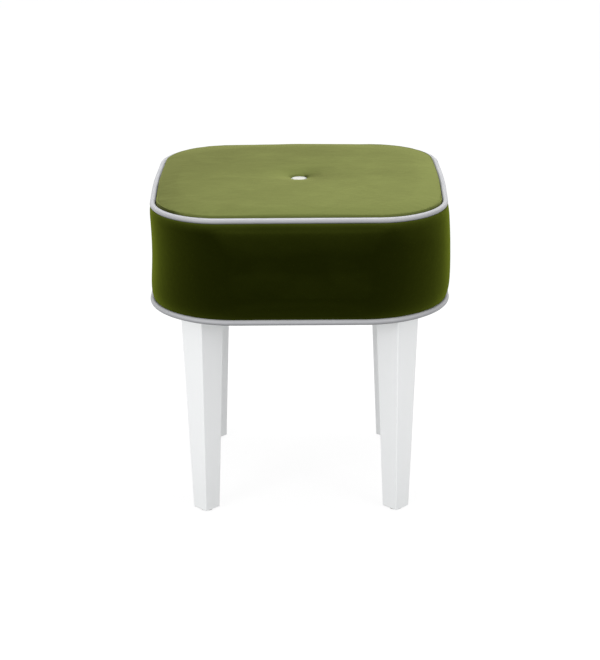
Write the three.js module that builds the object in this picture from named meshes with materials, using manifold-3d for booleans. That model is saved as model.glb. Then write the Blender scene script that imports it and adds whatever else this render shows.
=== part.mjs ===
// Vanity stool: a boxed velvet cushion, piped along both seams and buttoned in the middle,
// upholstered on a plywood board that stands on four tapered, screw-in legs.
// Lengths are in millimetres. +Z is up, the origin lies on the floor under the middle of the
// seat, and the front of the stool faces -Y.

import * as THREE from 'three';
import { mergeVertices } from 'three/addons/utils/BufferGeometryUtils.js';
import Module from 'manifold-3d';

const wasm = await Module();
wasm.setup();

// Gap between pieces that touch on the real stool, and how far a cutter runs past a face
const clearance = 0.3;
const overrun = 2;

// Base board, plywood with round corners
const boardWidth = 394;
const boardCornerRadius = 111;
const boardThickness = 18;

// Legs, square in section and tapered, each turned so that an edge faces forward
const legLength = 298;
const legTopWidth = 42;
const legFootWidth = 26.1;
const legInset = 23.5;
const legEdgeBevel = 1.2;
const legFootBevel = 2;

// Nail-on glides under the legs
const glideRadius = 9;
const glideThickness = 2.5;
const glideEdgeRadius = 1.2;
const nailRadius = 1.1;
const nailLength = 14;
const nailPointLength = 4;

// Hanger bolts: a wood screw end in the leg and a machine end in the board's nut
const boltRadius = 4;
const boltScrewLength = 25;
const boltPointLength = 7;
const boltMachineLength = 20;
const boltEndBevel = 0.8;

// Pronged tee nuts, hammered into the board from above
const nutFlangeRadius = 11;
const nutFlangeThickness = 1.5;
const nutBarrelRadius = 5.2;
const nutBarrelLength = 10;
const prongLength = 8;
const prongWidth = 4;
const prongThickness = 1.2;
const prongTipShare = 0.3;

// Velvet cover: a boxing band round the side and a crowned top panel
const clothThickness = 1;
const boxingHeight = 140;
const topDrawIn = 2.35;
const bandBulge = 7.5;
const bandSquareness = 8;
const crownRise = 9.05;
const crownSquareness = 0.17;
const seamAllowance = 10;

// Piping: a strip folded round a filler cord, its two edges sewn in as a flange
const pipingRadius = 3.75;
const stripThickness = 0.6;

// Filling
const waddingThickness = 8;
const foamShoulder = 35;

// Button, pulled down by a twine that is knotted under the board
const buttonRadius = 11.5;
const buttonHeight = 3.5;
const buttonShell = 0.8;
const buttonLip = 3;
const buttonBackThickness = 0.6;
const eyeletOpening = 1.8;
const eyeletWireRadius = 0.7;
const twineRadius = 0.6;
const dimpleDepth = 7.2;
const dimpleSpread = 16;
const washerRadius = 9;
const washerThickness = 1.2;
const knotRadius = 3.2;
const knotHeight = 1.6;

// Dust cover of black non-woven cloth, stapled over the hem
const dustCoverThickness = 0.6;
const dustCoverMargin = 8;
const dustCoverStep = 3;
const dustCoverPocket = 8;

// Counts of facets
const cornerSteps = 8;
const pipingSteps = 8;
const liningSteps = 6;
const cordSides = 6;
const roundSides = 16;
const smallRoundSides = 8;
const domeSteps = 4;
const shoulderSteps = 4;
const knotSteps = 4;

// Where the profile points of the velvet lie: shares of the crown's sweep from the middle of the
// panel to its seam, of the dimple's run out from the button, and of the band's free height
const crownSweepShares = [0.26, 0.46, 0.65, 0.8, 0.9, 0.96, 1];
const dimpleRunShares = [0.3, 0.8, 1.6, 3];
const bandHeightShares = [0.07, 0.2, 0.5, 0.8, 0.93];
const dimpleBlendShare = 0.75;

// Heights, from the floor up
const legFootHeight = glideThickness + clearance;
const legTopHeight = legFootHeight + legLength;
const boardBottom = legTopHeight + dustCoverThickness + 2 * clearance;
const boardTop = boardBottom + boardThickness;
const flangeHalf = stripThickness + clearance / 2;
const hemTop = boardBottom - clearance;
const hemBottom = hemTop - clothThickness;
const bottomSeam = hemBottom - clearance - flangeHalf;
const topSeam = bottomSeam + boxingHeight;
const bandTop = topSeam - flangeHalf - clearance;
const panelEdge = topSeam + flangeHalf + clearance;
const allowanceEnd = topSeam - seamAllowance;
const foamBottom = boardTop + clearance;

// Reaches: distances from the middle of the seat to the middle of a side
const boardReach = boardWidth / 2;
const cornerCentre = boardReach - boardCornerRadius;
const bottomSeamReach = boardReach + clearance + clothThickness;
const topSeamReach = bottomSeamReach - topDrawIn;
const bottomPipingReach = bottomSeamReach + clearance + pipingRadius;
const topPipingReach = topSeamReach + clearance + pipingRadius;
const foldReach = topSeamReach - 2 * clothThickness - clearance;
const flangeReach = foldReach - clearance - 2 * flangeHalf;
const panelFoldReach = flangeReach - clearance;
const waddingShoulderReach = panelFoldReach - clothThickness - clearance;
const foamTopReach = boardReach - foamShoulder;
const shaftRadius = eyeletOpening + 2 * eyeletWireRadius + 2 * clearance;
const roundingReach = cornerCentre + boardCornerRadius * dimpleBlendShare;

// The legs stand on the board's diagonals, inset from its round corners. The dust cover lies flat
// out to their tops, and the hem and the flange stop where the cover steps down.
const quarterTurn = Math.PI / 2;
const cornerDiagonal = Math.SQRT2 * cornerCentre;
const legFaceDiagonal = cornerDiagonal + boardCornerRadius - legInset;
const legOffset = (legFaceDiagonal - legTopWidth / 2) / Math.SQRT2;
const legCornerRadius = Math.hypot(legFaceDiagonal - cornerDiagonal, legTopWidth / 2) + clearance;
const flatReach = cornerCentre + legCornerRadius / Math.cos(quarterTurn / cornerSteps / 2);
const stepReach = flatReach + dustCoverStep;
const hemReach = stepReach + clearance;

const heading = (angle) => new THREE.Vector2(Math.cos(angle), Math.sin(angle));
const point = (reach, height) => new THREE.Vector2(reach, height);

// Plan of the seat at one reach. Near the sides it is an offset of the board's outline, with the
// same corner centres. Towards the middle it shrinks and eases into a circle round the button.
function planRing(reach) {
  const outerReach = Math.max(reach, roundingReach);
  const share = Math.min(reach / roundingReach, 1);
  const outline = [];
  for (let side = 0; side < 4; side++) {
    const turn = side * quarterTurn;
    outline.push(heading(turn).multiplyScalar(outerReach));
    const centre = point(cornerCentre, cornerCentre).rotateAround(point(0, 0), turn);
    for (let step = 0; step <= cornerSteps; step++) {
      const spoke = heading(turn + quarterTurn * step / cornerSteps);
      outline.push(spoke.multiplyScalar(outerReach - cornerCentre).add(centre));
    }
  }
  return outline.map((corner, index) => {
    const spoke = heading(4 * quarterTurn * index / outline.length);
    return spoke.multiplyScalar(outerReach).lerp(corner, share).multiplyScalar(share);
  });
}

// Closed surface over a stack of rings with as many points each. A looped stack runs on into its
// first ring, as round a torus. Any other is closed with a flat cap at each end.
function skinRings(rings, looped) {
  const count = rings[0].length;
  const positions = rings.flat().flatMap((corner) => [corner.x, corner.y, corner.z]);
  const faces = [];
  const last = looped ? rings.length : rings.length - 1;
  for (let ring = 0; ring < last; ring++) {
    const low = ring * count;
    const high = (ring + 1) % rings.length * count;
    for (let index = 0; index < count; index++) {
      const next = (index + 1) % count;
      faces.push(low + index, low + next, high + next);
      faces.push(low + index, high + next, high + index);
    }
  }
  for (let index = 1; index < count - 1 && !looped; index++) {
    const top = (rings.length - 1) * count;
    faces.push(0, index + 1, index);
    faces.push(top, top + index, top + index + 1);
  }
  return indexed(new Float32Array(positions), faces);
}

function indexed(positions, faces) {
  const geometry = new THREE.BufferGeometry();
  geometry.setAttribute('position', new THREE.BufferAttribute(positions, 3));
  geometry.setIndex(Array.from(faces));
  return geometry;
}

// A piece that runs round the seat: its section, drawn as reach and height, follows the plan
function roundSeat(section) {
  const upright = THREE.ShapeUtils.area(section) > 0 ? section : [...section].reverse();
  const rings = upright.map(({ x: reach, y: height }) => (
    planRing(reach).map((corner) => new THREE.Vector3(corner.x, corner.y, height))));
  return skinRings(rings, true);
}

// A turned piece: its section starts and ends on the axis, and is turned to stand along Z
function turned(section, sides = roundSides) {
  return new THREE.LatheGeometry(section, sides).rotateX(quarterTurn);
}

// Straight round bar along Z
function bar(radius, low, high, sides = roundSides) {
  return turned([point(0, low), point(radius, low), point(radius, high), point(0, high)], sides);
}

// The geometry with its double points merged and its empty triangles left out
function welded(geometry) {
  const bare = geometry.clone();
  bare.deleteAttribute('normal');
  bare.deleteAttribute('uv');
  const merged = mergeVertices(bare);
  const corners = merged.index.array;
  const faces = [];
  for (let first = 0; first < corners.length; first += 3) {
    const [a, b, c] = corners.slice(first, first + 3);
    if (a !== b && b !== c && c !== a) faces.push(a, b, c);
  }
  return indexed(merged.attributes.position.array, faces);
}

function toSolid(geometry) {
  const { attributes, index } = welded(geometry);
  const triVerts = Uint32Array.from(index.array);
  return new wasm.Manifold(new wasm.Mesh({ numProp: 3, vertProperties: attributes.position.array, triVerts }));
}

function toGeometry(solid) {
  const mesh = solid.getMesh();
  return indexed(mesh.vertProperties, mesh.triVerts);
}

const joined = (geometry, ...parts) => (
  toGeometry(parts.reduce((solid, part) => solid.add(toSolid(part)), toSolid(geometry))));
const cut = (geometry, ...cutters) => (
  toGeometry(cutters.reduce((solid, cutter) => solid.subtract(toSolid(cutter)), toSolid(geometry))));

// Height of the top panel's outer face: full and steep at the seam, with the dimple that the
// button pulls into its middle
function panelHeight(reach) {
  const share = Math.min(reach / topSeamReach, 1);
  const rise = crownRise * Math.pow(1 - share * share, crownSquareness);
  const run = Math.max(reach - buttonRadius, 0);
  return panelEdge + rise - dimpleDepth * Math.exp(-run / dimpleSpread);
}

// Reaches of the panel's profile points, from the shaft in the middle to the seam
const crownReaches = crownSweepShares.map((share) => topSeamReach * Math.sin(share * quarterTurn));
const dimpleReaches = dimpleRunShares.map((share) => buttonRadius + share * dimpleSpread);
const innerReaches = [shaftRadius, buttonRadius, ...dimpleReaches, crownReaches[0]];
const panelReaches = [...innerReaches, ...crownReaches.slice(1)];

// Reach of the band's outer face: drawn in at both seams, and full and nearly upright between them
function bandReach(height) {
  const share = (height - hemBottom) / (bandTop - hemBottom);
  const bulge = bandBulge * (1 - Math.pow(Math.abs(2 * share - 1), bandSquareness));
  return THREE.MathUtils.lerp(bottomSeamReach, topSeamReach, share) + bulge;
}

const wrapBottom = boardBottom + boardThickness / 2;
const waddingNotch = allowanceEnd - clearance;
const freeHeights = bandHeightShares.map((share) => THREE.MathUtils.lerp(wrapBottom, waddingNotch, share));
const bandHeights = [wrapBottom, ...freeHeights, waddingNotch];

// Points of an open profile moved sideways by a distance, to the left of its direction, with the
// corners mitred so that each stretch stays parallel
function besideProfile(profile, distance) {
  const sides = profile.slice(1).map((end, index) => {
    const along = end.clone().sub(profile[index]).normalize();
    return point(-along.y, along.x);
  });
  return profile.map((corner, index) => {
    const before = sides[Math.max(index - 1, 0)];
    const after = sides[Math.min(index, sides.length - 1)];
    const mitre = before.clone().add(after).normalize();
    return corner.clone().addScaledVector(mitre, distance / mitre.dot(after));
  });
}

// Part of a profile that lies within a reach, ending exactly there
function withinReach(profile, reach) {
  const kept = profile.filter((corner) => corner.x < reach);
  const last = kept[kept.length - 1];
  const next = profile[kept.length];
  return [...kept, last.clone().lerp(next, (reach - last.x) / (next.x - last.x))];
}

const panelOuter = panelReaches.map((reach) => point(reach, panelHeight(reach)));

// Top panel: crowned and dimpled, its edge folded in over the piping's flange and down inside
function coverTopPanel() {
  const inner = besideProfile(panelOuter, -clothThickness);
  const foldTop = panelEdge + clothThickness;
  const underside = inner.filter((corner) => corner.y > foldTop || corner.x < panelFoldReach);
  const lastUnder = underside[underside.length - 1];
  const beyond = inner[underside.length];
  const crease = lastUnder.clone().lerp(beyond, (lastUnder.y - foldTop) / (lastUnder.y - beyond.y));
  return roundSeat([
    ...panelOuter,
    point(panelFoldReach, panelEdge),
    point(panelFoldReach, allowanceEnd),
    point(panelFoldReach - clothThickness, allowanceEnd),
    point(panelFoldReach - clothThickness, foldTop),
    crease,
    ...underside.reverse(),
  ]);
}

// Boxing band: folded in along the top seam, and turned in under the board as a hem
function coverSideBand() {
  const heights = [hemBottom, ...bandHeights, bandTop];
  const outer = heights.map((height) => point(bandReach(height), height));
  const inner = bandHeights.map((height) => point(bandReach(height) - clothThickness, height));
  const foldUnder = bandTop - clothThickness;
  return roundSeat([
    ...outer,
    point(foldReach, bandTop),
    point(foldReach, allowanceEnd),
    point(foldReach + clothThickness, allowanceEnd),
    point(foldReach + clothThickness, foldUnder),
    point(bandReach(foldUnder) - clothThickness, foldUnder),
    ...inner.reverse(),
    point(bandReach(hemTop) - clothThickness, hemTop),
    point(hemReach, hemTop),
    point(hemReach, hemBottom),
  ]);
}

// Arc of a piping section about its middle, open towards the seat by half the given slot
function pipingArc(reach, height, radius, slot, steps) {
  const opening = Math.PI - Math.asin(slot / radius);
  const arc = [];
  for (let step = 0; step <= steps; step++) {
    const angle = opening * (1 - 2 * step / steps);
    arc.push(heading(angle).multiplyScalar(radius).add(point(reach, height)));
  }
  return arc;
}

const liningRadius = pipingRadius - stripThickness;

// Piping strip of the top seam. Its flange runs in over the band and turns down inside the fold.
function topPipingStrip() {
  const slot = clearance / 2;
  const layers = (reach, side) => [
    point(reach, allowanceEnd),
    point(reach, topSeam + side),
  ];
  return roundSeat([
    ...pipingArc(topPipingReach, topSeam, pipingRadius, flangeHalf, pipingSteps),
    ...layers(flangeReach + 2 * flangeHalf, -flangeHalf).reverse(),
    ...layers(flangeReach + flangeHalf + slot, -slot),
    ...pipingArc(topPipingReach, topSeam, liningRadius, slot, liningSteps).reverse(),
    ...layers(flangeReach + flangeHalf - slot, slot).reverse(),
    ...layers(flangeReach, flangeHalf),
  ]);
}

// Piping strip of the bottom seam. Its flange runs in under the band's hem.
function bottomPipingStrip() {
  const slot = clearance / 2;
  return roundSeat([
    ...pipingArc(bottomPipingReach, bottomSeam, pipingRadius, flangeHalf, pipingSteps),
    point(hemReach, bottomSeam - flangeHalf),
    point(hemReach, bottomSeam - slot),
    ...pipingArc(bottomPipingReach, bottomSeam, liningRadius, slot, liningSteps).reverse(),
    point(hemReach, bottomSeam + slot),
    point(hemReach, bottomSeam + flangeHalf),
  ]);
}

// Filler cord inside a piping strip
function fillerCord(reach, height) {
  const radius = liningRadius * Math.cos(Math.PI / liningSteps) - clearance;
  const section = [];
  for (let side = 0; side < cordSides; side++) {
    const spoke = heading(4 * quarterTurn * side / cordSides);
    section.push(spoke.multiplyScalar(radius).add(point(reach, height)));
  }
  return roundSeat(section);
}

// Upper outline of the foam block: upright sides, round shoulders and a top that follows the
// panel, moved out by a margin where the wadding lies on it
function foamOutline(margin) {
  const depth = clothThickness + waddingThickness + 2 * clearance;
  const top = innerReaches.map((reach) => point(reach, panelHeight(reach) - depth + margin));
  const crest = panelHeight(foamTopReach) - depth;
  const centre = point(foamTopReach, crest - foamShoulder);
  const shoulder = [];
  for (let step = 0; step <= shoulderSteps; step++) {
    const spoke = heading(quarterTurn * (1 - step / shoulderSteps));
    shoulder.push(spoke.multiplyScalar(foamShoulder + margin).add(centre));
  }
  return [...top, ...shoulder];
}

// Foam block, with a shaft for the twine and hollows where it swells round the nuts' flanges
function foamBlock() {
  const block = roundSeat([
    point(shaftRadius, foamBottom),
    ...foamOutline(0),
    point(boardReach, foamBottom),
  ]);
  const hollowTop = foamBottom + nutFlangeThickness + clearance;
  const hollow = bar(nutFlangeRadius + clearance, foamBottom - overrun, hollowTop);
  return cut(block, ...atLegs(hollow));
}

// Wadding wrap: over the foam and down past the board's upper edge, pressed in along the top
// seam by the allowances
function waddingWrap() {
  const side = bandHeights.map((height) => (
    point(bandReach(height) - clothThickness - clearance, height)));
  const lining = besideProfile(panelOuter, -clothThickness - clearance);
  const upper = withinReach(lining, waddingShoulderReach);
  return roundSeat([
    ...side,
    point(waddingShoulderReach, waddingNotch),
    ...upper.reverse(),
    ...foamOutline(clearance),
    point(boardReach + clearance, wrapBottom),
  ]);
}

// Copies of a geometry on the four leg axes, each turned as the legs are
function atLegs(geometry) {
  return legPlaces.map(({ x, y }) => geometry.clone().rotateZ(quarterTurn / 2).translate(x, y, 0));
}

// Base board: drilled for the nut barrels and the twine, and slit by the nuts' prongs
function baseBoard() {
  const outline = new THREE.Shape(planRing(boardReach));
  const sheet = new THREE.ExtrudeGeometry(outline, { depth: boardThickness, bevelEnabled: false });
  sheet.translate(0, 0, boardBottom);
  const low = boardBottom - overrun;
  const high = boardTop + overrun;
  const barrelHole = bar(nutBarrelRadius + clearance, low, high);
  const slitDepth = prongLength + clearance;
  const slit = new THREE.BoxGeometry(
    prongThickness + 2 * clearance, prongWidth + 2 * clearance, slitDepth + overrun);
  slit.translate(prongReach, 0, boardTop - slitDepth + (slitDepth + overrun) / 2);
  const cutters = [barrelHole, ...fourRound(slit)].flatMap(atLegs);
  return cut(sheet, bar(shaftRadius, low, high, smallRoundSides), ...cutters);
}

const prongReach = nutFlangeRadius - prongThickness;
const fourRound = (geometry) => (
  [0, 1, 2, 3].map((turn) => geometry.clone().rotateZ(turn * quarterTurn)));

// Tee nut: a bored barrel under a round flange, whose four prongs bite into the board
function teeNut() {
  const flangeBottom = boardTop + clearance;
  const flangeTop = flangeBottom + nutFlangeThickness;
  const barrelBottom = flangeBottom - nutBarrelLength;
  const bore = boltRadius + clearance;
  const body = turned([
    point(bore, barrelBottom),
    point(nutBarrelRadius, barrelBottom),
    point(nutBarrelRadius, flangeBottom),
    point(nutFlangeRadius, flangeBottom),
    point(nutFlangeRadius, flangeTop),
    point(bore, flangeTop),
    point(bore, barrelBottom),
  ]);
  const spike = new THREE.Shape([
    point(-prongWidth / 2, nutFlangeThickness / 2),
    point(-prongWidth / 2 * prongTipShare, clearance - prongLength),
    point(prongWidth / 2 * prongTipShare, clearance - prongLength),
    point(prongWidth / 2, nutFlangeThickness / 2),
  ]);
  const prong = new THREE.ExtrudeGeometry(spike, { depth: prongThickness, bevelEnabled: false });
  prong.rotateX(quarterTurn).rotateZ(quarterTurn);
  prong.translate(prongReach - prongThickness / 2, 0, flangeBottom);
  return joined(body, ...fourRound(prong));
}

// Hanger bolt, pointed where it screws into the leg and bevelled where it enters the nut
function hangerBolt() {
  const tip = legTopHeight - boltScrewLength;
  const end = legTopHeight + boltMachineLength;
  return turned([
    point(0, tip),
    point(boltRadius, tip + boltPointLength),
    point(boltRadius, end - boltEndBevel),
    point(boltRadius - boltEndBevel, end),
    point(0, end),
  ]);
}

// Leg: a tapered square bar with bevelled edges, bored for its bolt and its glide's nail
function leg() {
  const section = (width, height) => {
    const half = width / 2;
    const shoulder = half - legEdgeBevel;
    const corners = [];
    for (let side = 0; side < 4; side++) {
      for (const across of [-shoulder, shoulder]) {
        const corner = point(half, across).rotateAround(point(0, 0), side * quarterTurn);
        corners.push(new THREE.Vector3(corner.x, corner.y, height));
      }
    }
    return corners;
  };
  const bevelShare = legFootBevel / legLength;
  const body = skinRings([
    section(legFootWidth - 2 * legFootBevel, legFootHeight),
    section(THREE.MathUtils.lerp(legFootWidth, legTopWidth, bevelShare), legFootHeight + legFootBevel),
    section(legTopWidth, legTopHeight),
  ], false);
  const pilot = turned([
    point(0, legTopHeight - boltScrewLength - 2 * clearance),
    point(boltRadius + clearance, legTopHeight - boltScrewLength + boltPointLength - clearance),
    point(boltRadius + clearance, legTopHeight + overrun),
    point(0, legTopHeight + overrun),
  ]);
  const nailHole = bar(nailRadius + clearance, legFootHeight - overrun,
    glideThickness + nailLength + clearance, smallRoundSides);
  return cut(body, pilot, nailHole);
}

// Glide: a round-edged plastic disc on its own nail
function glide() {
  const nailTop = glideThickness + nailLength;
  const edge = [0, 1, 2].map((step) => {
    const spoke = heading(quarterTurn * (step / 2 - 1)).multiplyScalar(glideEdgeRadius);
    return spoke.add(point(glideRadius - glideEdgeRadius, glideEdgeRadius));
  });
  return turned([
    point(0, 0),
    ...edge,
    point(glideRadius, glideThickness),
    point(nailRadius, glideThickness),
    point(nailRadius, nailTop - nailPointLength),
    point(0, nailTop),
  ]);
}

// Heights at the button: the velvet in the dimple, and the button's underside above it
const dimpleFloor = panelHeight(0);
const buttonBottom = dimpleFloor + clearance;
const buttonSkirt = buttonShell + buttonBackThickness + 2 * clearance;

// Button cap: a covered dome with its rim turned in round the back
function buttonCap() {
  const skirtTop = buttonBottom + buttonSkirt;
  const domeRise = buttonHeight - buttonSkirt;
  const dome = (radius, rise) => {
    const arc = [];
    for (let step = 0; step <= domeSteps; step++) {
      const angle = quarterTurn * step / domeSteps;
      arc.push(point(radius * Math.cos(angle), skirtTop + rise * Math.sin(angle)));
    }
    arc[domeSteps].x = 0;
    return arc;
  };
  const inside = dome(buttonRadius - buttonShell, domeRise - buttonShell).reverse();
  return turned([
    ...inside,
    point(buttonRadius - buttonShell, buttonBottom + buttonShell),
    point(buttonRadius - buttonLip, buttonBottom + buttonShell),
    point(buttonRadius - buttonLip, buttonBottom),
    point(buttonRadius, buttonBottom),
    ...dome(buttonRadius, domeRise),
  ]);
}

// Half ring of wire or twine in the XZ plane, standing on its two ends
function arch(radius, wireRadius) {
  const half = new THREE.EllipseCurve(0, 0, radius, radius, 0, Math.PI);
  const path = new THREE.CatmullRomCurve3(
    half.getPoints(smallRoundSides).map((corner) => new THREE.Vector3(corner.x, 0, corner.y)));
  const section = new THREE.Shape(
    new THREE.EllipseCurve(0, 0, wireRadius, wireRadius).getPoints(smallRoundSides).slice(1));
  return new THREE.ExtrudeGeometry(section, { steps: smallRoundSides, extrudePath: path });
}

// Button back: a disc held by the cap's rim, whose boss fills the rim and carries the wire eyelet
function buttonBack() {
  const discBottom = buttonBottom + buttonShell + clearance;
  const discTop = discBottom + buttonBackThickness;
  const bossRadius = buttonRadius - buttonLip - clearance;
  const disc = turned([
    point(0, buttonBottom),
    point(bossRadius, buttonBottom),
    point(bossRadius, discBottom),
    point(buttonRadius - buttonShell - clearance, discBottom),
    point(buttonRadius - buttonShell - clearance, discTop),
    point(0, discTop),
  ]);
  const ringRadius = eyeletOpening + eyeletWireRadius;
  const eyelet = arch(ringRadius, eyeletWireRadius).rotateX(2 * quarterTurn);
  eyelet.translate(0, 0, buttonBottom);
  const stub = bar(eyeletWireRadius, buttonBottom - eyeletWireRadius, discBottom, smallRoundSides);
  const stubs = [-ringRadius, ringRadius].map((x) => stub.clone().translate(x, 0, 0));
  return joined(disc, eyelet, ...stubs);
}

// Twine: over the eyelet's wire, down through the filling and the board, and knotted below
function buttonTwine() {
  const strandReach = twineStrandReach;
  const bend = buttonBottom - eyeletOpening - eyeletWireRadius;
  const loop = arch(strandReach, twineRadius).rotateZ(quarterTurn).translate(0, 0, bend);
  const knotMiddle = knotTop - knotHeight / 2;
  const strand = bar(twineRadius, knotMiddle, bend + twineRadius / 2, smallRoundSides);
  const strands = [-strandReach, strandReach].map((y) => strand.clone().translate(0, y, 0));
  const knot = new THREE.SphereGeometry(1, smallRoundSides, knotSteps).rotateX(quarterTurn);
  knot.scale(knotRadius, knotRadius, knotHeight / 2).translate(0, 0, knotMiddle);
  return joined(loop, ...strands, knot);
}

const twineStrandReach = eyeletWireRadius + clearance + twineRadius;
const washerTop = boardBottom - clearance;
const washerBottom = washerTop - washerThickness;
const knotTop = washerBottom - clearance;

// Washer under the board, with a hole for each strand of the twine
function twineWasher() {
  const disc = bar(washerRadius, washerBottom, washerTop);
  const hole = bar(twineRadius + clearance, washerBottom - overrun, washerTop + overrun, smallRoundSides);
  return cut(disc, ...[-twineStrandReach, twineStrandReach].map((y) => hole.clone().translate(0, y, 0)));
}

// Dust cover: flat against the board between the legs, stepping down over the hem at its edge
// and over the knot in the middle
function dustCover() {
  const boardFace = boardBottom - clearance;
  const hemFace = bottomSeam - flangeHalf - clearance;
  const knotFace = knotTop - knotHeight - clearance;
  const pocketReach = washerRadius + dustCoverPocket / 2;
  const face = (drop) => [
    point(0, knotFace - drop),
    point(pocketReach, knotFace - drop),
    point(pocketReach + dustCoverPocket, boardFace - drop),
    point(flatReach, boardFace - drop),
    point(stepReach, hemFace - drop),
    point(boardReach - dustCoverMargin, hemFace - drop),
  ];
  const sheet = roundSeat([...face(0), ...face(dustCoverThickness).reverse()]);
  const holeRadius = (boltRadius + clearance) / Math.cos(Math.PI / smallRoundSides);
  const hole = bar(holeRadius, legTopHeight, boardBottom, smallRoundSides);
  return cut(sheet, ...atLegs(hole));
}

const legPlaces = [
  { place: 'front_left', x: -legOffset, y: -legOffset },
  { place: 'front_right', x: legOffset, y: -legOffset },
  { place: 'rear_left', x: -legOffset, y: legOffset },
  { place: 'rear_right', x: legOffset, y: legOffset },
];

// Finishes
const finish = (color, roughness, metalness = 0) => (
  () => new THREE.MeshStandardMaterial({ color, roughness, metalness, flatShading: true }));
const oliveVelvet = finish(0x6a7038, 0.85);
const whiteVinyl = finish(0xdedfdb, 0.45);
const whitePaint = finish(0xeef0f0, 0.4);
const birchPlywood = finish(0xc8a676, 0.7);
const foam = finish(0xe6dcae, 0.95);
const polyester = finish(0xf1f1ee, 0.95);
const cottonCord = finish(0xd8d2c2, 0.9);
const linenTwine = finish(0xbba988, 0.85);
const blackCloth = finish(0x1c1c1e, 0.9);
const zincSteel = finish(0xb4b7ba, 0.35, 0.9);
const nylon = finish(0x8d8c88, 0.5);

function named(name, geometry, material) {
  const solid = welded(geometry);
  solid.computeVertexNormals();
  const mesh = new THREE.Mesh(solid, material());
  mesh.name = name;
  return mesh;
}

function seat() {
  const group = new THREE.Group();
  group.add(
    named('base_board', baseBoard(), birchPlywood),
    named('foam_block', foamBlock(), foam),
    named('wadding_wrap', waddingWrap(), polyester),
    named('cover_top_panel', coverTopPanel(), oliveVelvet),
    named('cover_side_band', coverSideBand(), oliveVelvet),
    named('top_piping', topPipingStrip(), whiteVinyl),
    named('top_piping_cord', fillerCord(topPipingReach, topSeam), cottonCord),
    named('bottom_piping', bottomPipingStrip(), whiteVinyl),
    named('bottom_piping_cord', fillerCord(bottomPipingReach, bottomSeam), cottonCord),
    named('dust_cover', dustCover(), blackCloth),
  );
  return group;
}

function centreButton() {
  const group = new THREE.Group();
  group.add(
    named('button_cap', buttonCap(), whiteVinyl),
    named('button_back', buttonBack(), zincSteel),
    named('button_twine', buttonTwine(), linenTwine),
    named('twine_washer', twineWasher(), zincSteel),
  );
  return group;
}

// One leg with its hardware, standing on its own axis
function legAssembly({ place, x, y }) {
  const group = new THREE.Group();
  group.add(
    named(`leg_${place}`, leg(), whitePaint),
    named(`glide_${place}`, glide(), nylon),
    named(`hanger_bolt_${place}`, hangerBolt(), zincSteel),
    named(`tee_nut_${place}`, teeNut(), zincSteel),
  );
  group.position.set(x, y, 0);
  group.rotation.z = quarterTurn / 2;
  return group;
}

const stool = new THREE.Group();
stool.add(seat(), centreButton(), ...legPlaces.map(legAssembly));

export default stool;
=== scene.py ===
import math

import bpy
from mathutils import Matrix, Vector, noise


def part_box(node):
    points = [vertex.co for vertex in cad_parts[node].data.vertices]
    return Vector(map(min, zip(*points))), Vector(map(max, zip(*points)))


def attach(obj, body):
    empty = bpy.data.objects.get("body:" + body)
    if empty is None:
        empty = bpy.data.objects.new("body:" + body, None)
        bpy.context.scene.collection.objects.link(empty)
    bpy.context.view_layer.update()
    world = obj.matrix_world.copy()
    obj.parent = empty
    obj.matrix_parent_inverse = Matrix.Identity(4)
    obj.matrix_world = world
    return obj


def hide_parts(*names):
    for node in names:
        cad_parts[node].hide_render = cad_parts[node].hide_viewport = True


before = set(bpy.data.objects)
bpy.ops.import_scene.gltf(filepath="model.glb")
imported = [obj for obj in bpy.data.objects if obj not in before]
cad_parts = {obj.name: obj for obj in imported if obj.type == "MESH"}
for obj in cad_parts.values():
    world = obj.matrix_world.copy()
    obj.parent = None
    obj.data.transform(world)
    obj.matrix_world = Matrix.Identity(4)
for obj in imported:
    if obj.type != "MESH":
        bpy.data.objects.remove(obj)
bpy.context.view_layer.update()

# Camera. It stands in front of the stool, a little to the right of its middle and at two and a half
# times the seat's height, and looks down at it. Its place, aim and lens come from matching the
# seams, the legs and the button of the real stool.
camera_place = Vector((0.01166, -2.6497, 1.14071))
camera_yaw = -0.00452
camera_pitch = 0.33464
camera_roll = -0.00767
focal_length_px = 1949.6
picture_height_px = 660
sensor_height_mm = 36

ahead = Vector((
    math.sin(camera_yaw) * math.cos(camera_pitch),
    math.cos(camera_yaw) * math.cos(camera_pitch),
    -math.sin(camera_pitch),
))
level_right = Vector((math.cos(camera_yaw), -math.sin(camera_yaw), 0))
level_up = level_right.cross(ahead)
right = level_right * math.cos(camera_roll) + level_up * math.sin(camera_roll)
up = level_up * math.cos(camera_roll) - level_right * math.sin(camera_roll)

bpy.ops.object.camera_add()
camera = bpy.context.object
camera.name = "camera"
camera.data.sensor_width = sensor_height_mm
camera.data.lens = focal_length_px * sensor_height_mm / picture_height_px
camera.data.clip_end = 50
camera.matrix_world = Matrix.Translation(camera_place) @ Matrix((right, up, -ahead)).transposed().to_4x4()
bpy.context.scene.camera = camera

# Base board. It is cut from 18 mm birch plywood with round corners, sanded and left bare, and
# drilled for the leg nuts and the button's twine. The upholstery hides all of it.
board_low, board_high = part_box("base_board")
board_reach = board_high.x
board_corner_radius = 0.111
corner_centre = board_reach - board_corner_radius
veneer_mm = 1.5
wood_pore_mm = 0.8

# A Mix node's colour sockets go by number, because their names repeat.
mix_share, mix_from, mix_to = 0, 6, 7


def linear(colour):
    """An sRGB hex colour as linear red, green, blue and alpha."""
    channels = [int(colour[start:start + 2], 16) / 255 for start in (1, 3, 5)]
    return [c / 12.92 if c <= 0.04045 else ((c + 0.055) / 1.055) ** 2.4 for c in channels] + [1.0]


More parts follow.
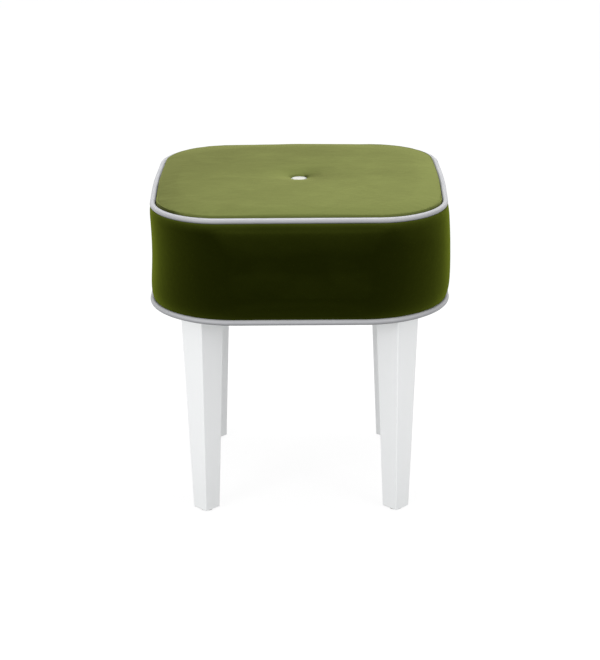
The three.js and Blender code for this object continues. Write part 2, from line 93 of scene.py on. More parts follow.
def add_node(material, kind, inputs=None, **settings):
    """Adds a node. An input takes a value, or the node or socket that feeds it."""
    tree = material.node_tree
    node = tree.nodes.new(kind)
    for name, value in settings.items():
        setattr(node, name, value)
    for name, value in (inputs or {}).items():
        if isinstance(value, bpy.types.Node):
            value = [output for output in value.outputs if output.enabled][0]
        if isinstance(value, bpy.types.NodeSocket):
            tree.links.new(value, node.inputs[name])
        else:
            node.inputs[name].default_value = value
    return node


def wave_scale(period_mm):
    """The scale at which a Wave node's bands repeat at this distance. At a scale of 1 their wave
    turns by 20 radians a metre."""
    return 1000 / period_mm * math.tau / 20


def new_finish(name, **sockets):
    """A material whose Principled shader has these constants. Underscores stand for spaces."""
    finish = bpy.data.materials.new(name)
    finish.use_nodes = True
    shader = finish.node_tree.nodes["Principled BSDF"]
    for socket, value in sockets.items():
        shader.inputs[socket.replace("_", " ")].default_value = value
    return finish


def feed_shader(finish, **patterns):
    """Links nodes to sockets of the finish's shader. Underscores stand for spaces."""
    shader = finish.node_tree.nodes["Principled BSDF"]
    for socket, node in patterns.items():
        output = [output for output in node.outputs if output.enabled][0]
        finish.node_tree.links.new(output, shader.inputs[socket.replace("_", " ")])


def finish_node(node, finish):
    """Gives a solid of the frame its material."""
    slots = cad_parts[node].data.materials
    slots.clear()
    slots.append(finish)


# Birch plywood: pale veneers that alternate at the sawn edge, and short fine pores along the
# grain, drawn coarser than the real 0.1 mm.
plywood = new_finish("birch_plywood", Roughness=0.65)
place = add_node(plywood, "ShaderNodeTexCoord").outputs["Object"]
veneers = add_node(plywood, "ShaderNodeTexWave", {
    "Vector": place, "Scale": wave_scale(2 * veneer_mm), "Distortion": 0.4}, bands_direction="Z")
along_grain = add_node(plywood, "ShaderNodeMapping", {"Vector": place, "Scale": (0.08, 1, 1)})
pores = add_node(plywood, "ShaderNodeTexNoise", {
    "Vector": along_grain, "Scale": 1000 / wood_pore_mm, "Detail": 3})
wood = add_node(plywood, "ShaderNodeMix", {
    mix_share: veneers.outputs["Fac"], mix_from: linear("#b58f5e"), mix_to: linear("#d8bb8a")},
    data_type="RGBA")
feed_shader(
    plywood, Base_Color=wood,
    Normal=add_node(plywood, "ShaderNodeBump", {"Height": pores, "Strength": 0.2, "Distance": 0.0002}))
finish_node("base_board", plywood)

# Leg hardware: hanger bolts and pronged tee nuts of bright zinc-plated steel, pressed and rolled.
# The nuts are hammered into the board from above and the bolts screwed into the legs.
plating_grain_mm = 0.5
corners = ("front_left", "front_right", "rear_left", "rear_right")

# Zinc plate: grown in a bath as a thin bright coat of crystals, so that it is a cool grey metal whose
# gloss varies a little from grain to grain.
zinc = new_finish("zinc_plated_steel", Metallic=1.0)
place = add_node(zinc, "ShaderNodeTexCoord").outputs["Object"]
spangle = add_node(zinc, "ShaderNodeTexNoise", {
    "Vector": place, "Scale": 1000 / plating_grain_mm, "Detail": 2})
feed_shader(
    zinc,
    Base_Color=add_node(zinc, "ShaderNodeMix", {
        mix_share: spangle, mix_from: linear("#a4a8ab"), mix_to: linear("#c9cccd")}, data_type="RGBA"),
    Roughness=add_node(zinc, "ShaderNodeMapRange", {"Value": spangle, "To Min": 0.28, "To Max": 0.42}))
for corner in corners:
    finish_node("hanger_bolt_" + corner, zinc)
    finish_node("tee_nut_" + corner, zinc)

# Top panel of the cover: cotton velvet over wadding and seat foam, crowned, its edge turned down
# into the seam and its middle pulled into a dimple by the button. It stands for the filling too.
top_piping_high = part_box("top_piping")[1]
button_low, button_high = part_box("button_cap")
piping_radius = 0.00375
top_seam_height = top_piping_high.z - piping_radius
top_seam_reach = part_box("cover_top_panel")[1].x
top_corner_centre = 0.1064
side_bow_share = 0.017
rounding_share = 0.75
panel_over_seam = 0.00105
panel_edge_height = top_seam_height + panel_over_seam
crown_rise = 0.0098
crown_squareness = 0.14
button_radius = button_high.x
dimple_depth = 0.0047
dimple_spread = 0.022
button_well = 0.0022
button_well_slope = 0.002
button_well_power = 1.5
shaft_radius = 0.0038
under_button_reach = 0.008
under_button_rim = 0.0008
corner_drop = 0.0012
corner_drop_run = 0.05
velvet_thickness = 0.001
seam_groove = 0.0009
seam_tuck = 0.004
panel_grip = 0.004
button_grip = 0.001
pucker_depth = 0.0005
pucker_length_mm = 11
pucker_run = 0.007
pucker_end = 0.02
half_side_steps = 8
corner_steps = 30
around = 4 * (2 * half_side_steps + corner_steps)


def softness(height):
    """0 at the board, whose outline the cover follows there, to 1 at the soft top."""
    return min(max((height - board_low.z) / (top_seam_height - board_low.z), 0), 1)


def corner_middle(height):
    """Where the arc of a corner has its middle. The soft top has fuller corners than the board."""
    return corner_centre + (top_corner_centre - corner_centre) * softness(height)


def bow(spot, height):
    """Factors that draw a side of the soft cover in on either side of its middle. The front edge
    runs straight."""
    drawn_in = side_bow_share * softness(height) * math.sin(2 * math.atan2(spot.y, spot.x)) ** 2
    return Vector((1 - drawn_in, 1 - drawn_in if spot.y > 0 else 1))


def seat_outline(reach, height):
    """Points round the seat at a reach, its distance from the middle to the middle of a side.
    Towards the middle of the seat the outline eases into a circle."""
    centre = corner_middle(height)
    rounding_reach = centre + (top_seam_reach - centre) * rounding_share
    outer = max(reach, rounding_reach)
    share = min(reach / rounding_reach, 1)
    corner = Vector((centre, centre))
    quarter = [Vector((outer, centre * step / half_side_steps)) for step in range(half_side_steps)]
    for step in range(corner_steps):
        angle = math.pi / 2 * step / corner_steps
        quarter.append(corner + Vector((math.cos(angle), math.sin(angle))) * (outer - centre))
    for step in range(half_side_steps):
        quarter.append(Vector((centre * (1 - step / half_side_steps), outer)))
    outline = [Matrix.Rotation(side * math.pi / 2, 2) @ point for side in range(4) for point in quarter]
    for index, point in enumerate(outline):
        angle = math.tau * index / around
        circle = Vector((math.cos(angle), math.sin(angle))) * outer
        outline[index] = circle.lerp(point * bow(point, height), share) * share
    return outline


def cloth_round_seat(name, section):
    """A strip of cloth round the seat, from a flat grid that runs clockwise. Its section lists
    reaches and heights, outwards over the top or downwards on the side, so that it faces out."""
    rows = len(section) - 1
    bpy.ops.object.select_all(action="DESELECT")
    bpy.ops.mesh.primitive_grid_add(x_subdivisions=around, y_subdivisions=rows, size=1)
    cloth = bpy.context.object
    cloth.name = cloth.data.name = name
    outlines = [seat_outline(reach, height) for reach, height in section]
    for vertex in cloth.data.vertices:
        column = round((vertex.co.x + 0.5) * around) % around
        row = round((vertex.co.y + 0.5) * rows)
        spot = outlines[row][-column]
        vertex.co = (spot.x, spot.y, section[row][1])
    bpy.ops.object.mode_set(mode="EDIT")
    bpy.ops.mesh.select_all(action="SELECT")
    bpy.ops.mesh.remove_doubles(threshold=1e-6)
    bpy.ops.object.mode_set(mode="OBJECT")
    return cloth


def apply_modifier(piece, kind, **settings):
    """Adds a modifier with these settings and applies it."""
    bpy.ops.object.select_all(action="DESELECT")
    piece.select_set(True)
    bpy.context.view_layer.objects.active = piece
    modifier = piece.modifiers.new(kind.lower(), kind)
    for name, value in settings.items():
        setattr(modifier, name, value)
    bpy.ops.object.modifier_apply(modifier=modifier.name)


def fill_with_air(piece, sewn_down, pressure, furthest_move, frames=20):
    """Swells the cloth as its filling does, wherever it isn't sewn or tied down."""
    scene = bpy.context.scene
    seams = piece.vertex_groups.new(name="seams")
    seams.add([v.index for v in piece.data.vertices if sewn_down(v.co)], 1.0, "REPLACE")
    starts = [v.co.copy() for v in piece.data.vertices]
    bpy.ops.object.select_all(action="DESELECT")
    bpy.context.view_layer.objects.active = piece
    cloth = piece.modifiers.new("velvet", "CLOTH")
    cloth.settings.quality = 6
    cloth.settings.mass = 0.3
    cloth.settings.tension_stiffness = 30
    cloth.settings.compression_stiffness = 30
    cloth.settings.shear_stiffness = 15
    cloth.settings.bending_stiffness = 1.5
    cloth.settings.vertex_group_mass = "seams"
    cloth.settings.use_pressure = True
    cloth.settings.uniform_pressure_force = pressure
    cloth.settings.effector_weights.gravity = 0
    cloth.collision_settings.use_collision = False
    cloth.point_cache.frame_start = 1
    cloth.point_cache.frame_end = frames
    for number in range(1, frames + 1):
        scene.frame_set(number)
    bpy.ops.object.modifier_apply(modifier=cloth.name)
    scene.frame_set(1)
    for vertex, start in zip(piece.data.vertices, starts):
        move = vertex.co - start
        if move.length > furthest_move:
            vertex.co = start + move * (furthest_move / move.length)


def draw_puckers(piece, distance_to_seam, direction):
    """Draws the cloth in, unevenly, where the stitches of a seam gather it."""
    for vertex in piece.data.vertices:
        near = math.exp(-distance_to_seam(vertex.co) / pucker_run)
        if near > pucker_end:
            gather = noise.noise(Vector((vertex.co.x, vertex.co.y, 0)) * 1000 / pucker_length_mm)
            vertex.co += direction(vertex.co) * gather * near * pucker_depth


def panel_height(reach):
    """The crown of the panel, its dimple and the narrow well that holds the button."""
    share = min(reach / top_seam_reach, 1)
    rise = crown_rise * (1 - share * share) ** crown_squareness
    run = max(reach - button_radius, 0)
    well = button_well * max(1 - run / button_well_slope, 0) ** button_well_power
    return panel_edge_height + rise - dimple_depth * math.exp(-run / dimple_spread) - well


def edge_distance(spot):
    """How far a spot of the panel lies inside its edge."""
    across, along = bow(spot, top_seam_height)
    unbowed = Vector((abs(spot.x) / across, abs(spot.y) / along))
    past_corner = Vector((max(unbowed.x - top_corner_centre, 0), max(unbowed.y - top_corner_centre, 0)))
    if past_corner.x and past_corner.y:
        return top_seam_reach - top_corner_centre - past_corner.length
    return top_seam_reach - max(unbowed)


dimple_rows = 22
dimple_row_power = 1.3
crown_rows = 34
groove_power = 8
dimple_end = 0.06
well_reaches = (
    shaft_radius, under_button_reach, button_radius - under_button_rim, button_radius,
    button_radius + button_well_slope / 2, button_radius + button_well_slope)
panel_section = [(reach, panel_height(reach)) for reach in well_reaches]
for row in range(1, dimple_rows):
    reach = well_reaches[-1] + (dimple_end - well_reaches[-1]) * (row / dimple_rows) ** dimple_row_power
    panel_section.append((reach, panel_height(reach)))
first_sweep = math.asin(dimple_end / top_seam_reach)
for row in range(crown_rows):
    sweep = first_sweep + (math.pi / 2 - first_sweep) * row / crown_rows
    reach = top_seam_reach * math.sin(sweep)
    panel_section.append((reach - seam_groove * (row / crown_rows) ** groove_power, panel_height(reach)))
groove_reach = top_seam_reach - seam_groove
panel_section.append((groove_reach, panel_edge_height))
panel_section.append((groove_reach, panel_edge_height - seam_groove))
panel_section.append((groove_reach - seam_tuck, panel_edge_height - seam_groove))

top_panel = cloth_round_seat("velvet_top_panel", panel_section)
for vertex in top_panel.data.vertices:
    spot = vertex.co
    inside = edge_distance(spot)
    towards_corner = min(abs(spot.x), abs(spot.y)) / top_corner_centre
    if inside > 2 * seam_groove:
        spot.z -= corner_drop * math.exp(-inside / corner_drop_run) * min(towards_corner, 1) ** 2
fill_with_air(
    top_panel,
    lambda spot: edge_distance(spot) < panel_grip or spot.xy.length < button_radius + button_grip,
    pressure=4, furthest_move=0.0006)
draw_puckers(top_panel, edge_distance, lambda spot: Vector((0, 0, 1)))
apply_modifier(top_panel, "SUBSURF", levels=1, render_levels=1)
apply_modifier(top_panel, "SOLIDIFY", thickness=velvet_thickness, offset=-1)
bpy.ops.object.shade_smooth()

# Cotton velvet, woven with a cut pile and dyed olive. The pile drinks the light that falls
# straight on it and glows where it is seen edge-on. Its colour is painted paler towards one side
# and where it faces one way, as painted light, with soft patches of uneven pile in between. Its
# tufts are drawn coarser than the real 0.3 mm, so that they show.
stroke_stretch = (0.7, 1.25, 1.0)
pile_tuft_mm = 1.3
pile_drift_mm = 8
brushed_patch_mm = 60
hand_mark_mm = 22


def olive_velvet(name, dark, pale, sweep, painted_light_slopes, handling, bloom, bloom_weight, bloom_roughness):
    """Velvet between two tones. The sweep is a direction, and where along it dark turns to pale,
    as painted light. What faces along the slopes is painted paler too, as painted light, as far as
    their length says, and handling is how far its patches go to either side."""
    velvet = new_finish(
        name, Roughness=0.9, Specular_IOR_Level=0.0, Sheen_Weight=bloom_weight,
        Sheen_Roughness=bloom_roughness, Sheen_Tint=linear(bloom))
    direction, painted_shade_end, painted_light_end = sweep
    place = add_node(velvet, "ShaderNodeTexCoord").outputs["Object"]
    stroke = add_node(velvet, "ShaderNodeMapping", {"Vector": place, "Scale": stroke_stretch})
    patches = add_node(velvet, "ShaderNodeTexNoise", {
        "Vector": stroke, "Scale": 1000 / brushed_patch_mm, "Detail": 3, "Roughness": 0.55,
        "Distortion": 0.6})
    marks = add_node(velvet, "ShaderNodeTexNoise", {
        "Vector": stroke, "Scale": 1000 / hand_mark_mm, "Detail": 2, "Distortion": 0.4})
    drift = add_node(velvet, "ShaderNodeTexNoise", {
        "Vector": place, "Scale": 1000 / pile_drift_mm, "Detail": 2})
    tufts = add_node(velvet, "ShaderNodeTexNoise", {
        "Vector": place, "Scale": 1000 / pile_tuft_mm, "Detail": 2, "Roughness": 0.7})
    # Painted light: the colour turns paler along the sweep's direction.
    along = add_node(velvet, "ShaderNodeVectorMath", {0: place, 1: direction}, operation="DOT_PRODUCT")
    painted_light_gradient = add_node(velvet, "ShaderNodeMapRange", {
        "Value": along.outputs["Value"], "From Min": painted_shade_end, "From Max": painted_light_end})
    patched = add_node(velvet, "ShaderNodeMapRange", {
        "Value": patches, "From Min": 0.3, "From Max": 0.7, "To Min": -handling, "To Max": handling})
    marked = add_node(velvet, "ShaderNodeMapRange", {
        "Value": marks, "From Min": 0.3, "From Max": 0.7, "To Min": -handling / 2, "To Max": handling / 2})
    uneven = add_node(velvet, "ShaderNodeMath", {0: patched, 1: marked}, operation="ADD")
    # Painted light: what faces along the slopes is painted paler.
    facing = add_node(velvet, "ShaderNodeNewGeometry").outputs["Normal"]
    painted_slope_light = add_node(velvet, "ShaderNodeVectorMath", {0: facing, 1: painted_light_slopes}, operation="DOT_PRODUCT")
    patches_and_slope_light = add_node(velvet, "ShaderNodeMath", {0: uneven, 1: painted_slope_light.outputs["Value"]}, operation="ADD")
    patches_and_painted_light = add_node(velvet, "ShaderNodeMath", {0: painted_light_gradient, 1: patches_and_slope_light}, operation="ADD", use_clamp=True)
    tone_with_painted_light = add_node(velvet, "ShaderNodeMix", {
        mix_share: patches_and_painted_light, mix_from: linear(dark), mix_to: linear(pale)}, data_type="RGBA")
    fleck = add_node(velvet, "ShaderNodeMapRange", {
        "Value": tufts, "From Min": 0.25, "From Max": 0.75, "To Min": 0.82, "To Max": 1.18})
    pile = add_node(velvet, "ShaderNodeMix", {
        mix_share: 1.0, mix_from: tone_with_painted_light, mix_to: fleck}, data_type="RGBA", blend_type="MULTIPLY")
    lean = add_node(velvet, "ShaderNodeBump", {"Height": drift, "Strength": 0.25, "Distance": 0.0008})
    nap = add_node(velvet, "ShaderNodeBump", {
        "Height": tufts, "Strength": 0.3, "Distance": 0.0004, "Normal": lean})
    feed_shader(velvet, Base_Color=pile, Normal=nap)
    return velvet


# Painted light: the top's tones are painted paler than the side band's, and paler still towards the right
# and front and where it slopes that way.
top_panel.data.materials.append(olive_velvet(
    "olive_velvet_top", dark="#3a3f1a", pale="#666e3b", sweep=((0.54, -1.0, 0), -0.3, 0.32),
    painted_light_slopes=(3.5, -2.6, 0), handling=0.16, bloom="#d2d88a", bloom_weight=0.8, bloom_roughness=0.4))
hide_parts("cover_top_panel", "wadding_wrap", "foam_block")
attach(top_panel, "root")

# Boxing band of the cover: the same velvet, cut as one strip and sewn round the side between the
# pipings, in tones painted darker than the top's, as painted shade. It is turned in and stapled
# under the board.
band_low, band_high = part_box("cover_side_band")
bottom_piping_low, bottom_piping_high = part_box("bottom_piping")
top_piping_reach = top_piping_high.x - piping_radius
bottom_piping_reach = bottom_piping_high.x - piping_radius
bottom_seam_height = bottom_piping_low.z + piping_radius
seam_gap = 0.0003
bottom_seam_reach = bottom_piping_reach - piping_radius - seam_gap
band_bulge = 0.0075
band_squareness = 8
band_turn_in = 0.9
shoulder_drop = 0.013
shoulder_squareness = 2.0
lip_start = math.radians(196)
lip_end = math.radians(308)
lip_gap = 0.0005
band_lean = 0.0026
band_grip = 0.008
hem_reach = 0.1809
hem_turn = 0.004
lip_rows = 9
shoulder_rows = 14
side_rows = 34
even_rows = 0.1


def band_reach(height):
    """The band's reach on the side, drawn in towards the bottom seam."""
    share = (height - band_low.z) / (band_high.z - band_low.z)
    bulge = band_bulge * (1 - max(1 - 2 * share, 0) ** band_squareness) ** band_turn_in
    return bottom_seam_reach + (top_seam_reach - bottom_seam_reach) * min(share, 0.5) + bulge


band_section = [(top_seam_reach - seam_tuck, band_high.z)]
for row in range(lip_rows):
    share = row / lip_rows
    angle = lip_start + (lip_end - lip_start) * share
    hug_radius = piping_radius + seam_gap + (lip_gap - seam_gap) * share
    band_section.append((
        top_piping_reach + hug_radius * math.cos(angle), top_seam_height + hug_radius * math.sin(angle)))
lip_reach = top_piping_reach + (piping_radius + lip_gap) * math.cos(lip_end)
shoulder_top = top_seam_height + (piping_radius + lip_gap) * math.sin(lip_end)
shoulder_reach = band_reach(shoulder_top) - lip_reach
for row in range(shoulder_rows):
    turn = math.pi / 2 * row / shoulder_rows
    out = math.sin(turn) ** (2 / shoulder_squareness)
    down = 1 - math.cos(turn) ** (2 / shoulder_squareness)
    band_section.append((lip_reach + shoulder_reach * out, shoulder_top - shoulder_drop * down))
side_top = shoulder_top - shoulder_drop
for row in range(side_rows + 1):
    share = row / side_rows
    share = (1 - even_rows) * math.sin(math.pi / 2 * share) + even_rows * share
    height = side_top + (band_low.z - side_top) * share
    band_section.append((band_reach(height), height))
band_section.append((bottom_seam_reach - seam_groove, band_low.z))
band_section.append((hem_reach + hem_turn, band_low.z))
band_section.append((hem_reach, band_low.z))

side_band = cloth_round_seat("velvet_side_band", band_section)
fill_with_air(
    side_band,
    lambda spot: spot.z < band_low.z + band_grip or spot.z > shoulder_top - band_grip,
    pressure=4, furthest_move=0.0005)


def seam_distance(spot):
    """How far a spot of the band lies from the nearer of its two seams."""
    return min(spot.z - band_low.z, abs(shoulder_top - spot.z))


draw_puckers(side_band, seam_distance, lambda spot: -Vector((spot.x, spot.y, 0)).normalized())
for vertex in side_band.data.vertices:
    share = min(max((vertex.co.z - band_low.z) / (shoulder_top - band_low.z), 0), 1)
    vertex.co.x += band_lean * math.sin(math.pi * share)
apply_modifier(side_band, "SUBSURF", levels=1, render_levels=1)
apply_modifier(side_band, "SOLIDIFY", thickness=velvet_thickness, offset=-1)
bpy.ops.object.shade_smooth()
# Painted light: the band is painted paler towards its top and where it faces upward.
side_band.data.materials.append(olive_velvet(
    "olive_velvet_side", dark="#080b00", pale="#454d18", sweep=((0, 0, 1), 0.39, 0.74),
    painted_light_slopes=(0, 0, 1.6), handling=0.02, bloom="#bcd048", bloom_weight=0.56, bloom_roughness=0.5))
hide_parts("cover_side_band")
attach(side_band, "root")

# Piping in both seams: a bias strip of white coated cloth, folded round a cotton cord and sewn
# shut along it. Its ends lap at the back. The lower one's flange runs in under the hem, which
# tips its bead up a little.
piping_sides = 20
piping_corner_steps = 44
piping_side_steps = 40
strip_thickness = 0.0005
flange_thickness = 0.0012
bottom_bead_lift = 0.0005
lap_length = 0.014
lap_thickness = 0.0004
strip_ripple = 0.00007
strip_ripple_mm = 6
weave_mm = 0.8
clouding_mm = 25


def round_strip(name, reach, height, radius):
    """Carries a round section along each side of the seat and round each corner."""
    centre_line = corner_middle(height)
    bpy.ops.object.select_all(action="DESELECT")
    bpy.ops.mesh.primitive_circle_add(
        vertices=piping_sides, radius=radius, location=(reach, -centre_line, height),
        rotation=(math.pi / 2, 0, 0))
    strip = bpy.context.object
    strip.name = strip.data.name = name
    bpy.ops.object.transform_apply()
    bpy.ops.object.mode_set(mode="EDIT")
    bpy.ops.mesh.select_all(action="SELECT")
    for side in range(4):
        turn = Matrix.Rotation(side * math.pi / 2, 3, "Z")
        stride = turn @ Vector((0, 2 * centre_line / piping_side_steps, 0))
        for _ in range(piping_side_steps):
            bpy.ops.mesh.extrude_region_move(TRANSFORM_OT_translate={"value": stride})
        centre = turn @ Vector((centre_line, centre_line, 0))
        bpy.ops.mesh.spin(steps=piping_corner_steps, angle=math.pi / 2, center=centre, axis=(0, 0, -1))
    bpy.ops.mesh.select_all(action="SELECT")
    bpy.ops.mesh.remove_doubles(threshold=1e-5)
    bpy.ops.mesh.normals_make_consistent(inside=False)
    bpy.ops.object.mode_set(mode="OBJECT")
    for vertex in strip.data.vertices:
        across, along = bow(vertex.co, height)
        vertex.co = (vertex.co.x * across, vertex.co.y * along, vertex.co.z)
    bpy.ops.object.shade_smooth()
    return strip


def wrap_strip(strip):
    """Ripples a strip, laps its ends at the back and gives the cloth its thickness."""
    normals = [vertex.normal.copy() for vertex in strip.data.vertices]
    for vertex, normal in zip(strip.data.vertices, normals):
        swell = strip_ripple * noise.noise(vertex.co * 1000 / strip_ripple_mm)
        if vertex.co.y > 0 and abs(vertex.co.x) < lap_length / 2:
            swell += lap_thickness
        vertex.co += normal * swell
    apply_modifier(strip, "SOLIDIFY", thickness=strip_thickness, offset=-1)


top_strip = round_strip("top_piping_strip", top_piping_reach, top_seam_height, piping_radius)
bottom_bead_height = bottom_seam_height + bottom_bead_lift
bottom_strip = round_strip("bottom_piping_strip", bottom_piping_reach, bottom_bead_height, piping_radius)
wrap_strip(top_strip)
wrap_strip(bottom_strip)

flange = cloth_round_seat("bottom_piping_flange", [
    (hem_reach + hem_turn, bottom_seam_height), (bottom_seam_reach, bottom_seam_height),
    (bottom_piping_reach - piping_radius + strip_thickness, bottom_seam_height)])
apply_modifier(flange, "SOLIDIFY", thickness=flange_thickness, offset=0)
flange.select_set(True)
bottom_strip.select_set(True)
bpy.context.view_layer.objects.active = bottom_strip
bpy.ops.object.join()

# White coated cloth: a smooth satin skin on a fine woven backing that just shows through it, drawn
# coarser than the real 0.4 mm. It is painted greyer towards its underside than on top, as
# painted shade.
coated_cloth = new_finish("white_coated_cloth", IOR=1.5)
place = add_node(coated_cloth, "ShaderNodeTexCoord").outputs["Object"]
weave = add_node(coated_cloth, "ShaderNodeTexNoise", {
    "Vector": place, "Scale": 1000 / weave_mm, "Detail": 2})
clouding = add_node(coated_cloth, "ShaderNodeTexNoise", {
    "Vector": place, "Scale": 1000 / clouding_mm, "Detail": 2})
facing = add_node(coated_cloth, "ShaderNodeNewGeometry").outputs["Normal"]
upward = add_node(coated_cloth, "ShaderNodeVectorMath", {
    0: facing, 1: (0, 0, 1)}, operation="DOT_PRODUCT")
# Painted shade: the cloth is painted greyer where it faces downward.
painted_underside_shade = add_node(coated_cloth, "ShaderNodeMapRange", {
    "Value": upward.outputs["Value"], "From Min": -0.7, "From Max": 0.9})
skin = add_node(coated_cloth, "ShaderNodeMix", {
    mix_share: clouding, mix_from: linear("#bbbcc0"), mix_to: linear("#c3c3c7")}, data_type="RGBA")
feed_shader(
    coated_cloth,
    Base_Color=add_node(coated_cloth, "ShaderNodeMix", {
        mix_share: painted_underside_shade, mix_from: linear("#6f7072"), mix_to: skin}, data_type="RGBA"),
    Roughness=add_node(coated_cloth, "ShaderNodeMapRange", {
        "Value": weave, "To Min": 0.38, "To Max": 0.52}),
    Normal=add_node(coated_cloth, "ShaderNodeBump", {
        "Height": weave, "Strength": 0.25, "Distance": 0.00015}))
for strip, node in ((top_strip, "top_piping"), (bottom_strip, "bottom_piping")):
    strip.data.materials.append(coated_cloth)
    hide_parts(node)
    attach(strip, "root")

# Filler cords inside the pipings, and the button's twine: cotton and waxed linen, twisted from
# fine strands, so that they show a slanting rope-like pattern.
cord_low, cord_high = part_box("top_piping_cord")
cord_radius = (cord_high.z - cord_low.z) / 2
strand_mm = 1.2


def twisted_yarn(name, dark, light):
    """Yarn painted darker in the grooves between its strands, as painted shade, and paler on their backs.
    """
    yarn = new_finish(name, Roughness=0.85, Specular_IOR_Level=0.2)
    place = add_node(yarn, "ShaderNodeTexCoord").outputs["Object"]
    strands = add_node(yarn, "ShaderNodeTexWave", {
        "Vector": place, "Scale": wave_scale(strand_mm), "Distortion": 1.5}, bands_direction="DIAGONAL")
    # Painted shade: the grooves between the strands are painted darker.
    feed_shader(
        yarn,
        Base_Color=add_node(yarn, "ShaderNodeMix", {
            mix_share: strands.outputs["Fac"], mix_from: linear(dark), mix_to: linear(light)},
            data_type="RGBA"),
        Normal=add_node(yarn, "ShaderNodeBump", {
            "Height": strands.outputs["Fac"], "Strength": 0.5, "Distance": 0.0003}))
    return yarn


cotton_cord = twisted_yarn("twisted_cotton_cord", "#c9c0a8", "#e3dcc8")
for node, reach, height in (
        ("top_piping_cord", top_piping_reach, top_seam_height),
        ("bottom_piping_cord", bottom_piping_reach, bottom_bead_height)):
    cord = round_strip("cotton_" + node, reach, height, cord_radius)
    cord.data.materials.append(cotton_cord)
    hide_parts(node)
    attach(cord, "root")
finish_node("button_twine", twisted_yarn("waxed_linen_twine", "#a08c68", "#c4b189"))

# Button: a pressed steel dome, covered with the piping's white cloth, which is gathered in round
# its rim. Twine pulls it into the seat from a washer under the board.
dome_rise = 0.0025
rim_radius = 0.0004
button_sink = 0.0008
button_sides = 48
button_crease = math.radians(50)
satin_weave_mm = 0.5

bpy.ops.object.select_all(action="DESELECT")
bpy.ops.mesh.primitive_uv_sphere_add(
    segments=button_sides, ring_count=button_sides // 2, radius=button_radius)
button = bpy.context.object
button.name = button.data.name = "covered_button"
bpy.ops.object.mode_set(mode="EDIT")
bpy.ops.mesh.select_all(action="SELECT")
bpy.ops.mesh.bisect(plane_co=(0, 0, 0), plane_no=(0, 0, 1), clear_inner=True)
bpy.ops.mesh.select_all(action="SELECT")
bpy.ops.transform.resize(value=(1, 1, dome_rise / button_radius), center_override=(0, 0, 0))
bpy.ops.transform.translate(value=(0, 0, button_high.z - dome_rise - button_sink))
bpy.ops.mesh.select_all(action="DESELECT")
bpy.ops.mesh.select_mode(type="EDGE")
bpy.ops.mesh.select_non_manifold()
bpy.ops.mesh.extrude_region_move(
    TRANSFORM_OT_translate={"value": (0, 0, button_low.z - button_high.z + dome_rise)})
bpy.ops.mesh.edge_face_add()
bpy.ops.mesh.bevel(offset=rim_radius, segments=3)
bpy.ops.mesh.select_all(action="SELECT")
bpy.ops.mesh.normals_make_consistent(inside=False)
bpy.ops.object.mode_set(mode="OBJECT")
bpy.ops.object.shade_smooth_by_angle(angle=button_crease)

# White satin: a smooth weave of fine filaments with a soft shine, painted brighter than the same
# cloth on the pipings, as painted light. Its threads are drawn coarser than the real 0.1 mm.
white_satin = new_finish("white_satin_cloth", IOR=1.5, Roughness=0.4)
place = add_node(white_satin, "ShaderNodeTexCoord").outputs["Object"]
satin = add_node(white_satin, "ShaderNodeTexNoise", {
    "Vector": place, "Scale": 1000 / satin_weave_mm, "Detail": 2})
feed_shader(
    white_satin,
    Base_Color=add_node(white_satin, "ShaderNodeMix", {
        mix_share: satin, mix_from: linear("#cfcfc8"), mix_to: linear("#dfdfd8")}, data_type="RGBA"),
    Normal=add_node(white_satin, "ShaderNodeBump", {"Height": satin, "Strength": 0.2, "Distance": 0.0001}))
button.data.materials.append(white_satin)
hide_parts("button_cap")
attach(button, "root")
for node in ("button_back", "twine_washer"):
    finish_node(node, zinc)

# Dust cover: black spun-bonded polypropylene cloth, cut to shape and stapled over the hem, flat
# on the board between the legs and lifted a little by the knot in the middle.
cover_low, cover_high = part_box("dust_cover")
cover_reach = cover_high.x
cover_thickness = 0.0006
knot_face = cover_low.z
flat_face = cover_high.z - cover_thickness
hem_face = 0.298
pole_reach = 0.0001
knot_top_reach = 0.006
knot_reach = 0.013
knot_slope_end = 0.021
flat_start = 0.03
flat_reach = 0.1776
flat_rows = 24
hem_step_end = 0.1806
staple_reach = 0.1848
cover_sag = 0.0003
cover_sag_mm = 40
cover_sag_middle = 0.6
bond_dot_mm = 0.9
fibre_mm = 0.4

cover_section = [(pole_reach, knot_face), (knot_top_reach, knot_face), (knot_reach, knot_face)]
cover_section.append(((knot_reach + knot_slope_end) / 2, (knot_face + flat_face) / 2))
cover_section += [(knot_slope_end, flat_face), (flat_start, flat_face)]
for row in range(flat_rows):
    cover_section.append((flat_start + (flat_reach - flat_start) * (row + 1) / flat_rows, flat_face))
cover_section.append(((flat_reach + hem_step_end) / 2, (flat_face + hem_face) / 2))
cover_section += [(hem_step_end, hem_face), (staple_reach, hem_face), (cover_reach, hem_face)]
dust_cover = cloth_round_seat("black_dust_cover", cover_section)
for vertex in dust_cover.data.vertices:
    wave = noise.noise(Vector((vertex.co.x, vertex.co.y, 0)) * 1000 / cover_sag_mm)
    vertex.co.z += cover_sag * (wave - cover_sag_middle)
apply_modifier(dust_cover, "SOLIDIFY", thickness=cover_thickness, offset=1)
bpy.ops.object.shade_smooth()

